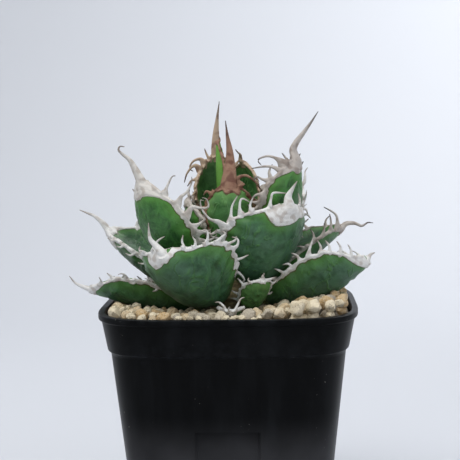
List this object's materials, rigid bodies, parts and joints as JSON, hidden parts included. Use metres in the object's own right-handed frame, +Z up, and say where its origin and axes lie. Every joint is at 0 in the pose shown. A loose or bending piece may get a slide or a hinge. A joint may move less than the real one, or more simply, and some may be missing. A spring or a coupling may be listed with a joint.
{
  "type": "potted agave",
  "caption": "Compact rosette of thick cupped agave leaves with white toothed edges and long tip spines, in a square tapered nursery pot topped with pumice.",
  "frame": {"origin": "centre of the pot's foot, on the surface it stands on", "axes": "+Z up; -Y towards the side the plant is usually seen from; +X to the right seen from there; the pot's sides face X and Y"},
  "size_m": [0.1265, 0.1072, 0.1774],
  "materials": {
    "pot": "satin",
    "growing_mix": "matte",
    "pumice": "matte",
    "stem": "matte",
    "leaf_blue_green": "satin",
    "leaf_mid_green": "satin",
    "leaf_dark_green": "satin"
  },
  "bodies": {
    "root": {"pot": "pot", "growing_mix": "growing_mix", "pumice_layer": "pumice", "stem": "stem", "leaf_01": "leaf_blue_green", "leaf_02": "leaf_mid_green", "leaf_03": "leaf_dark_green", "leaf_04": "leaf_blue_green", "leaf_05": "leaf_mid_green", "leaf_06": "leaf_dark_green", "leaf_07": "leaf_blue_green", "leaf_08": "leaf_mid_green", "leaf_09": "leaf_dark_green", "leaf_10": "leaf_blue_green", "leaf_11": "leaf_mid_green", "leaf_12": "leaf_dark_green", "leaf_13": "leaf_blue_green", "leaf_14": "leaf_mid_green", "leaf_15": "leaf_dark_green", "leaf_16": "leaf_blue_green", "leaf_17": "leaf_mid_green", "leaf_18": "leaf_dark_green", "leaf_19": "leaf_blue_green", "leaf_20": "leaf_mid_green", "leaf_21": "leaf_dark_green", "leaf_22": "leaf_blue_green"}
  },
  "joints": []
}
